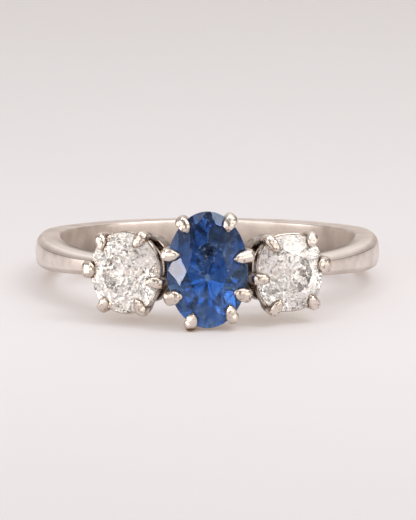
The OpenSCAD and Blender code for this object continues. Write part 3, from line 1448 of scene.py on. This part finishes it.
@dataclass(frozen=True)
class PaleFloor:
    """Matt pale surface that the ring lies on, with a painted glow that lifts its shadows.

    painted_glow is that glow's colour, and shaded is the tint of the painted shadow within reach_mm
    of the ring and in the back half of its hole, which ends between the shares hole_ends of hole_m.
    slope is a painted falloff of how light the floor is, from an eighth of a metre in front of the
    ring to an eighth behind it.
    """

    colour: tuple[float, float, float] = (0.340, 0.372, 0.430)
    painted_glow: tuple[float, float, float] = (0.46, 0.377, 0.318)
    shaded: tuple[float, float, float] = (0.46, 0.335, 0.255)
    reach_mm: float = 1.6
    hole_m: float = 0.02
    hole_ends: tuple[float, float] = (0.39, 0.43)
    slope: tuple[tuple[float, float], ...] = (
        (0.25, 0.87),
        (0.44, 1.0),
        (0.5, 1.0),
        (0.6, 0.95),
        (1.0, 0.80),
    )

    def shadow(self, n: Nodes, where: bpy.types.NodeSocket) -> bpy.types.NodeSocket:
        """Painted shadow of the floor: darker near the ring and inside its back half, with a
        painted falloff in front and far off.

        Args:
            n: The node tree.
            where: Socket of the place.

        Returns:
            The tint's socket.
        """
        # Painted contact shadow where little sky is open near the ring.
        near = n.ramp(n.openness(self.reach_mm * MM), [(0.08, self.shaded), (0.45, WHITE)])
        away = n.add("ShaderNodeSeparateXYZ", {"Vector": where}).outputs["Y"]
        out = n.add("ShaderNodeVectorMath", {0: where}, operation="LENGTH").outputs["Value"]
        near_end, far_end = self.hole_ends
        inside = n.math("DIVIDE", out, self.hole_m)
        inside = n.ramp(inside, [(near_end, WHITE), (far_end, BLACK)])
        back = n.ramp(n.math("MULTIPLY", away, 100.0), [(0.0, BLACK), (0.8, WHITE)])
        # Painted shadow inside the back half of the ring's hole.
        tint = n.mix(n.math("MULTIPLY", inside, back), near, self.shaded, "MULTIPLY")
        along = n.math("MULTIPLY_ADD", away, 4.0, 0.5)
        far = n.ramp(along, [(at, (share,) * 3) for at, share in self.slope])
        return n.mix(1.0, tint, far, "MULTIPLY")

    def material(self) -> bpy.types.Material:
        """Makes the material.

        Returns:
            The material.
        """
        material, n = new_material("pale_floor")
        where = n.place()
        cloud = n.noise(where, 40.0, 5.0)
        darker = tuple(0.985 * c for c in self.colour)
        tone = n.ramp(cloud, [(0.35, darker), (0.65, self.colour)])
        tint = self.shadow(n, where)
        shader = n.add(
            "ShaderNodeBsdfPrincipled",
            {
                "Base Color": n.mix(1.0, tone, tint, "MULTIPLY"),
                "Roughness": 0.75,
                "Specular IOR Level": 0.2,
                "Normal": n.bump(0.1, 0.1 * MM, cloud),
                # Painted glow, dimmed by the painted shadow.
                "Emission Color": n.mix(1.0, self.painted_glow, tint, "MULTIPLY"),
                "Emission Strength": 1.0,
            },
        )
        n.add("ShaderNodeOutputMaterial", {"Surface": shader.outputs[0]})
        return material


@dataclass(frozen=True)
class BlackFelt:
    """Black felt of the flag that the big stone's table mirrors."""

    colour: tuple[float, float, float] = (0.02, 0.02, 0.02)

    def material(self) -> bpy.types.Material:
        """Makes the material.

        Returns:
            The material.
        """
        material, n = new_material("black_flag")
        felt = n.add("ShaderNodeBsdfDiffuse", {"Color": (*self.colour, 1)})
        n.add("ShaderNodeOutputMaterial", {"Surface": felt.outputs[0]})
        return material


@dataclass(frozen=True)
class Dresser:
    """Puts finished meshes in the row's frame, under the root body, in place of their solids."""

    pose: RestPose

    def dress(
        self, obj: bpy.types.Object, material: bpy.types.Material, node: str
    ) -> None:
        """Places a piece, gives it its finish, hangs it under the root body and hides its solid.

        Args:
            obj: The piece, in the ring's own frame in mm.
            material: Its finish.
            node: The solid that it stands for.
        """
        obj.data.transform(self.pose.matrix())
        obj.data.materials.clear()
        obj.data.materials.append(material)
        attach(obj, "root")
        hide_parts(node)
        triangles = sum(len(p.vertices) - 2 for p in obj.data.polygons)
        log.info("%s: %d triangles, %s", obj.name, triangles, material.name)


def smooth_metal(obj: bpy.types.Object, sharp_over: float = 38.0) -> None:
    """Shades metal smooth but for its real edges.

    Args:
        obj: The piece.
        sharp_over: Angle in degrees over which an edge stays sharp.
    """
    obj.data.shade_smooth()
    obj.data.set_sharp_from_angle(angle=math.radians(sharp_over))


def add_marks(obj: bpy.types.Object, domains: dict[str, str]) -> list[bpy.types.Attribute]:
    """Gives a mesh numbers for its finish to read.

    Args:
        obj: The piece.
        domains: Name of each number and what it is kept for, FACE or POINT.

    Returns:
        The attributes, in that order.
    """
    for name, domain in domains.items():
        obj.data.attributes.new(name, "FLOAT", domain)
    return [obj.data.attributes[name] for name in domains]


@dataclass(frozen=True)
class BandWear:
    """Where the band takes painted shade and a painted highlight.

    Painted shade on the inner wall ends shade_t out of the finger, and grows from the band's top
    down. Its inner and outer edges at the top take painted shade in lines, the outer ones less
    where they face up. These lines and the painted highlight on the up-facing shoulders grow from a
    distance towards the stones, over a length. The names that end in up say how far a spot faces
    up, from 0 at an upright face to 1.
    """

    shade_t: float = 0.12
    shade_share: float = 0.6
    shade_top: float = 0.8
    shade_drop: float = 1.6
    inner_edge_t: float = 0.2
    inner_up: float = 0.5
    outer_edge_t: float = 0.4
    outer_least_up: float = 0.3
    outer_most_up: float = 0.72
    bare_up: float = 0.6
    bare_share: float = 0.3
    shade_from: float = 1.5
    shade_length: float = 2.5
    lit_from: float = 1.0
    lit_length: float = 3.5
    lit_up: float = 0.6
    lit_up_length: float = 0.35

    def dirt_and_shade(self, out: float, up: float) -> float:
        """Share of painted shade along an edge.

        Args:
            out: Distance from the finger hole.
            up: How far the spot faces up.

        Returns:
            The share, 0 off the edges.
        """
        if out > self.outer_edge_t and self.outer_least_up < up < self.outer_most_up:
            return self.bare_share if up > self.bare_up else 1.0
        return float(out < self.inner_edge_t and up > self.inner_up)

    def mark(self, band: bpy.types.Object, pose: RestPose) -> None:
        """Marks the band.

        Args:
            band: The band, in the ring's own frame.
            pose: Where the ring lies.
        """
        tarnish, clean = add_marks(band, {"tarnish": "POINT", "clean": "POINT"})
        for i, vertex in enumerate(band.data.vertices):
            spot, up = vertex.co, vertex.normal.z
            out = math.hypot(spot.x, spot.y) - pose.finger_r
            low = grown(-spot.z, -self.shade_top, self.shade_drop)
            inside = max(0.0, 1 - out / self.shade_t)
            dirt_and_shade = self.dirt_and_shade(out, up)
            near = grown(-spot.y, self.shade_from, self.shade_length)
            # Painted shade: lines along the edges near the stones, else darker low on the inner
            # wall.
            dark = dirt_and_shade * near if dirt_and_shade else inside * self.shade_share * low * low
            tarnish.data[i].value = dark
            # Painted highlight on the faces that look up near the shoulders.
            shoulder = grown(-spot.y, self.lit_from, self.lit_length)
            clean.data[i].value = grown(up, self.lit_up, self.lit_up_length) * shoulder


@dataclass(frozen=True)
class CoronetWear:
    """Where a coronet takes painted light inside, and painted shade between the stones.

    The painted shade lies under depth, between near and far of the middle, and upper_share of it
    on the faces that look up. The faces with painted light lie under lit_depth. facing is how far
    a face has to turn inwards or up to count as one of them.
    """

    near: float = 1.7
    far: float = 3.4
    depth: float = 0.35
    gap_shade_share: float = 0.95
    upper_share: float = 0.5
    lit_depth: float = 0.1
    facing: float = 0.3
    least_out: float = 0.1

    def mark(self, setting: bpy.types.Object, coronet: Coronet, pose: RestPose) -> None:
        """Marks a coronet.

        Args:
            setting: The coronet's mesh, in the ring's own frame.
            coronet: Its sizes.
            pose: Where the ring lies.
        """
        inverse = coronet.place(pose.finger_r).inverted()
        clean, tarnish = add_marks(setting, {"clean": "POINT", "tarnish": "POINT"})
        for i, vertex in enumerate(setting.data.vertices):
            spot = inverse @ vertex.co
            way = inverse.to_3x3() @ vertex.normal
            out = max(self.least_out, math.hypot(spot.x, spot.y))
            inwards = -(spot.x * way.x + spot.y * way.y) / out
            # Painted light on the coronet's inner faces, which lights the stone from behind.
            inner = inwards > self.facing and spot.z < -self.lit_depth
            clean.data[i].value = float(inner)
            # Painted shade on the metal between the stones.
            between = self.near < abs(vertex.co.x) < self.far and spot.z < -self.depth
            share = self.upper_share if vertex.normal.z > self.facing else self.gap_shade_share
            tarnish.data[i].value = share * float(between and not inner)


def mark_stone(obj: bpy.types.Object, stone: Stone) -> None:
    """Marks a stone's unpolished girdle, its back, and how far out and along each point lies.

    Args:
        obj: The stone, in its own frame.
        stone: Its sizes.
    """
    domains = {"girdle": "FACE", "pavilion": "FACE", "rim": "POINT", "along": "POINT"}
    girdle, pavilion, rim, along = add_marks(obj, domains)
    upright = 0.02
    for i, face in enumerate(obj.data.polygons):
        girdle.data[i].value = float(abs(face.normal.z) < upright)
        pavilion.data[i].value = float(face.normal.z < -upright)
    for i, vertex in enumerate(obj.data.vertices):
        rim.data[i].value = math.hypot(vertex.co.x / stone.half_w, vertex.co.y / stone.half_l)
        along.data[i].value = vertex.co.y / stone.half_l


def direction(azimuth: float, elevation: float) -> Vector:
    """Unit vector at an azimuth from the camera's side, to the right, and an elevation.

    Args:
        azimuth: Degrees round.
        elevation: Degrees over the floor.

    Returns:
        The vector.
    """
    a, e = math.radians(azimuth), math.radians(elevation)
    return Vector((math.sin(a) * math.cos(e), -math.cos(a) * math.cos(e), math.sin(e)))


@dataclass(frozen=True)
class Softbox:
    """Soft lamp that faces the stones: where it hangs, its size, radiance, distance and turn.

    mirrored_only keeps it off matt faces, and spread is the width of its beam in degrees.
    """

    name: str
    azimuth: float
    elevation: float
    size: tuple[float, float]
    radiance: float
    distance: float
    colour: tuple[float, float, float] = (1.0, 1.0, 1.0)
    roll: float = 0.0
    mirrored_only: bool = False
    spread: float = 180.0

    def hang(self, target: Vector) -> None:
        """Hangs the lamp round a target.

        Args:
            target: The point that it faces.
        """
        way = direction(self.azimuth, self.elevation)
        data = bpy.data.lights.new(self.name, "AREA")
        data.shape = "RECTANGLE"
        data.size, data.size_y = self.size
        data.energy = self.radiance * math.pi * self.size[0] * self.size[1]
        data.color = self.colour
        data.spread = math.radians(self.spread)
        lamp = bpy.data.objects.new(self.name, data)
        lamp.location = target + way * self.distance
        lamp.rotation_mode = "QUATERNION"
        facing = (-way).to_track_quat("-Z", "Y")
        lamp.rotation_quaternion = facing @ Quaternion((0, 0, 1), math.radians(self.roll))
        lamp.visible_camera = False
        lamp.visible_diffuse = not self.mirrored_only
        bpy.context.scene.collection.objects.link(lamp)


@dataclass(frozen=True)
class Glow:
    """Part of the room that is lighter or darker than the rest, with soft borders.

    inner and outer are angles in degrees from its middle, full up to the first and gone at the
    second.
    """

    azimuth: float
    elevation: float
    inner: float
    outer: float
    colour: tuple[float, float, float]


@dataclass(frozen=True)
class Studio:
    """Pale floor, soft lights and the camera.

    The camera's distance, elevation and focal length in pixels are those that fit the
    photograph's ellipses, and head_px is where the middle of the head stands in its frame. room
    is the light from below to above, at shares of the whole height. glows are added to it and
    shades laid over it. clutter is how small the things in it are, and dimmest and brighter say
    how light the dimmest is and how much lighter the brightest.
    """

    head: Vector
    distance: float = 0.260
    elevation: float = 13.4
    focal_px: float = 4706.0
    frame_px: tuple[int, int] = (416, 520)
    head_px: tuple[float, float] = (207.5, 270.0)
    sensor_mm: float = 36.0
    exposure: float = -0.2
    softboxes: tuple[Softbox, ...] = (
        Softbox("right_strip", 73, 56, (0.075, 0.17), 11.0, 0.3, (1.0, 0.92, 0.84), 21),
        Softbox(
            "left_strip", -76, -3.5, (0.009, 0.0055), 1.73, 0.022, (1.0, 0.77, 0.60), 0, True, 50
        ),
        Softbox("left_panel", -93, 14, (0.044, 0.05), 2.0, 0.12, (0.98, 0.98, 1.0)),
        Softbox("left_spark", -48, 34, (0.03, 0.03), 8.0, 0.3),
        Softbox("front_right", 30, 62, (0.15, 0.15), 2.4, 0.3, (1.0, 0.99, 0.98)),
        Softbox("front_left", -48, 64, (0.13, 0.13), 3.2, 0.3, (1.0, 0.99, 0.98)),
        Softbox("overhead", 180, 80, (0.25, 0.25), 1.2, 0.5, (0.98, 0.99, 1.0)),
    )
    room: tuple[tuple, ...] = (
        (0.49, (0.10, 0.07, 0.05)),
        (0.505, (0.36, 0.28, 0.215)),
        (0.60, (0.36, 0.335, 0.32)),
        (0.80, (0.27, 0.27, 0.275)),
    )
    glows: tuple[Glow, ...] = (
        Glow(180, 56, 28, 62, (0.80, 0.73, 0.69)),
        Glow(-48, 0, 28, 50, (1.50, 1.44, 1.39)),
        Glow(48, 0, 28, 50, (1.50, 1.44, 1.39)),
        Glow(0, 4, 25, 65, (0.22, 0.21, 0.20)),
    )
    clutter: float = 6.0
    dimmest: float = 0.55
    brighter: float = 0.9
    shades: tuple[Glow, ...] = (
        Glow(0, 13.4, 5, 13, (0.08, 0.08, 0.08)),
        Glow(-30, 41, 6, 14, (0.08, 0.08, 0.09)),
    )
    floor_half: float = 4.0
    flag_half: float = 0.005
    flag_y: float = -0.06
    flag_low: float = 0.0002
    flag_high: float = 0.009

    def camera(self) -> None:
        """Sets the camera at the photograph's angle and distance."""
        back = direction(0, self.elevation)
        up = direction(180, 90 - self.elevation)
        per_px = self.distance / self.focal_px
        right_by = (self.frame_px[0] / 2 - self.head_px[0]) * per_px
        up_by = (self.head_px[1] - self.frame_px[1] / 2) * per_px
        data = bpy.data.cameras.new("camera")
        data.sensor_width = self.sensor_mm
        data.lens = self.focal_px * self.sensor_mm / max(self.frame_px)
        data.clip_start, data.clip_end = 0.01, 20.0
        camera = bpy.data.objects.new("camera", data)
        camera.location = self.head + back * self.distance + Vector((right_by, 0, 0)) + up * up_by
        camera.rotation_mode = "QUATERNION"
        camera.rotation_quaternion = (-back).to_track_quat("-Z", "Y")
        bpy.context.scene.collection.objects.link(camera)
        bpy.context.scene.camera = camera

    def stage(self) -> None:
        """Lays the pale floor and stands the black flag that the big stone's table mirrors."""
        half, wide, y = self.floor_half, self.flag_half, self.flag_y
        low, high = self.flag_low, self.flag_high
        flat = [(-half, -half, 0), (half, -half, 0), (half, half, 0), (-half, half, 0)]
        upright = [(-wide, y, low), (wide, y, low), (wide, y, high), (-wide, y, high)]
        floor = new_object("floor", [(flat, [(0, 1, 2, 3)])])
        floor.data.materials.append(PaleFloor().material())
        flag = new_object("flag", [(upright, [(0, 1, 2, 3)])])
        flag.data.materials.append(BlackFelt().material())
        flag.visible_camera = False
        flag.visible_diffuse = False
        flag.visible_shadow = False

    def world(self) -> None:
        """Fills the room with soft light."""
        world = bpy.data.worlds.new("room")
        world.use_nodes = True
        n = Nodes(world.node_tree)
        way = n.add("ShaderNodeTexCoord").outputs["Generated"]
        height = n.add("ShaderNodeSeparateXYZ", {"Vector": way}).outputs["Z"]
        colour = n.ramp(n.math("MULTIPLY_ADD", height, 0.5, 0.5), self.room)
        for glow in self.glows:
            colour = n.mix(n.near(way, glow), colour, glow.colour, "ADD")
        things = n.add("ShaderNodeTexVoronoi", {"Vector": way, "Scale": self.clutter}).outputs[1]
        things = n.math("MULTIPLY_ADD", n.channel(things), self.brighter, self.dimmest)
        colour = n.vector("SCALE", colour, things)
        for shade in self.shades:
            colour = n.mix(n.near(way, shade), colour, shade.colour)
        background = n.add("ShaderNodeBackground", {"Color": colour, "Strength": 1.0})
        n.add("ShaderNodeOutputWorld", {"Surface": background.outputs[0]})
        bpy.context.scene.world = world

    def build(self) -> None:
        """Sets the whole studio up."""
        self.camera()
        self.stage()
        self.world()
        for softbox in self.softboxes:
            softbox.hang(self.head)
        scene = bpy.context.scene
        scene.view_settings.view_transform = "Standard"
        scene.view_settings.exposure = self.exposure
        scene.cycles.max_bounces = 24
        scene.cycles.transmission_bounces = 24
        scene.cycles.glossy_bounces = 8
        scene.cycles.diffuse_bounces = 3
        scene.cycles.sample_clamp_indirect = 12.0


def measured_stone(node: str, place: Matrix, shape: dict) -> Stone:
    """A stone with the size of its solid.

    Args:
        node: Name of the solid.
        place: Matrix from the stone's own frame in mm to the row's frame.
        shape: The shares, powers and slopes of its cut.

    Returns:
        The stone.
    """
    inverse = place.inverted()
    points = np.array([inverse @ v.co for v in frame["nodes"][node].data.vertices])
    low, high = points.min(0), points.max(0)
    corner = math.cos(math.pi / OUTLINE_STEPS) ** (2 / shape["square"])
    half = (high - low)[:2] / 2 / corner
    return Stone(node, half[0], half[1], high[2], -low[2] - GIRDLE_T, **shape)


OLD_CUT = dict(table=0.5, star=0.74, lower=0.55, culet=0.1, skew=0.0, wobble=3.0)
OVAL_CUT = dict(
    table=0.5,
    star=0.76,
    lower=0.45,
    culet=0.06,
    square=2.0,
    skew=0.25,
    crown_turns=(0, -3, 2, 3, -2, 2, 0, -2),
    upper_turns=(0, 2, 11, -5, 0, -2, 0, 2, -1, 0, 2, 0, -2, 0, 0, 2),
    pavilion_turns=(2, 7, -9, 4, -3, 6, -5, 4),
)
LEFT_CUT = dict(
    OLD_CUT,
    square=2.1,
    crown_turns=(2, -3, 1, 4, -2, 3, 0, -3),
    upper_turns=(1, -2, 3, 0, -1, 2, -3, 1, 0, 2, -2, 1, 3, -1, 0, -2),
    pavilion_turns=(0, 3, -4, 2, 5, -3, 0, 4, -2, 3, -5),
)
RIGHT_CUT = dict(
    OLD_CUT,
    square=2.45,
    crown_turns=(-2, 3, 0, -4, 2, -1, 3, 1),
    upper_turns=(0, 2, -2, 1, 3, -1, 0, -2, 1, -2, 3, 0, -1, 2, -3, 1),
    pavilion_turns=(2, -3, 4, 0, -2, 3, -4, 1, 5, -2, 3, 0, -3),
)
CENTRE_CLAWS = (
    Claw(14, 0, 1),
    Claw(57, 30, 0.68, blunt=0.8),
    Claw(127, -12, 0.62, blunt=1.0),
    Claw(165, 16, 0.8, blunt=0.3),
    Claw(208, -8, 0.66, size=1.15, blunt=0.9),
    Claw(246, 20, 0.84, ridge=True),
    Claw(307, -36, 1, ridge=True),
    Claw(335, -4, 0.68, size=1.1, blunt=0.9),
)
LEFT_CLAWS = (
    Claw(61, 0, 0.85, blunt=0.5),
    Claw(129, -20, 1, blunt=0.3),
    Claw(178, 0, 0.7, size=1.5, blunt=1.0),
    Claw(235, 0, 0.85, blunt=0.8),
    Claw(299, -15, 1.1, ridge=True),
    Claw(350, 0, 0.9, blunt=0.8),
)
RIGHT_CLAWS = (
    Claw(7, 0, 0.7, size=1.4, blunt=1.0),
    Claw(56, 0, 0.75, blunt=0.6),
    Claw(126, 0, 1.1, blunt=0.4),
    Claw(184, 0, 0.85, blunt=0.8),
    Claw(244, 0, 0.9, blunt=0.5),
    Claw(309, 0, 0.9, blunt=0.8),
)


@dataclass(frozen=True)
class ThreeStoneRing:
    """The whole ring, in the order that it is made."""

    pose: RestPose
    side_angle: float = 24.0
    centre_rise: float = 3.2
    side_rise: float = 2.8
    centre_lift: float = 0.33

    def head(self) -> Head:
        """Measures the stones and lays out their coronets.

        Returns:
            The three coronets.
        """
        wide = dict(rail=0.8, claw_w=0.7, reach=0.68, lift=self.centre_lift)
        narrow = dict(rail=0.9, claw_w=0.64, reach=0.52, bearing_h=0.32)
        sides = (
            ("left", -self.side_angle, LEFT_CUT, LEFT_CLAWS),
            ("right", self.side_angle, RIGHT_CUT, RIGHT_CLAWS),
        )
        centre = self.coronet(
            "centre_coronet", "centre_sapphire", 0.0, self.centre_rise, OVAL_CUT, CENTRE_CLAWS, wide
        )
        left, right = [
            self.coronet(
                f"{side}_coronet", f"{side}_diamond", angle, self.side_rise, shape, claws, narrow
            )
            for side, angle, shape, claws in sides
        ]
        return Head((left, centre, right), self.side_angle)

    def coronet(
        self,
        name: str,
        node: str,
        angle: float,
        rise: float,
        shape: dict,
        claws: tuple[Claw, ...],
        sizes: dict,
    ) -> Coronet:
        """Lays out one coronet round the solid of its stone.

        Args:
            name: Name of the coronet.
            node: Name of the stone's solid.
            angle: Degrees round the finger from the middle of the head.
            rise: Height of the girdle over the finger.
            shape: The cut of the stone.
            claws: Its claws.
            sizes: The coronet's other sizes.

        Returns:
            The coronet.
        """
        out = self.pose.finger_r + rise
        place = girdle_matrix(self.pose.matrix(), angle, out, sizes.get("lift", 0.0))
        stone = measured_stone(node, place, shape)
        return Coronet(name, stone, angle, rise, claws=claws, **sizes)

    def build_metal(self, head: Head) -> None:
        """Builds and dresses the band and the coronets.

        Args:
            head: The three coronets.
        """
        dresser = Dresser(self.pose)
        claw_metal = WornMetal().material()
        band = Band().build(self.pose, head)
        smooth_metal(band)
        BandWear().mark(band, self.pose)
        dresser.dress(band, BAND_METAL.material(), "ring_mount")
        for coronet in head.coronets:
            setting = coronet.build(self.pose)
            smooth_metal(setting)
            CoronetWear().mark(setting, coronet, self.pose)
            dresser.dress(setting, claw_metal, "ring_mount")

    def build_stones(self, head: Head) -> None:
        """Builds and dresses the stones.

        Args:
            head: The three coronets.
        """
        dresser = Dresser(self.pose)
        finishes = {"sapphire": SAPPHIRE.material(), "diamond": OLD_DIAMOND.material()}
        for coronet in head.coronets:
            node = coronet.stone.node
            slot = node.split("_")[1]
            gem = coronet.stone.build(node + "_cut")
            mark_stone(gem, coronet.stone)
            gem.data.transform(coronet.place(self.pose.finger_r))
            dresser.dress(gem, finishes[slot], node)


def main() -> None:
    """Builds the ring and the studio."""
    logging.basicConfig(level=logging.INFO, format="%(message)s")
    noise.seed_set(DENT_SEED)
    pose = RestPose.from_record(frame["record"])
    ring = ThreeStoneRing(pose)
    head = ring.head()
    ring.build_metal(head)
    ring.build_stones(head)
    centre = next(c for c in head.coronets if c.angle == 0)
    stones = pose.matrix() @ centre.place(pose.finger_r) @ Vector((0, 0, 0))
    Studio(stones).build()


if __name__ == "__main__":
    main()
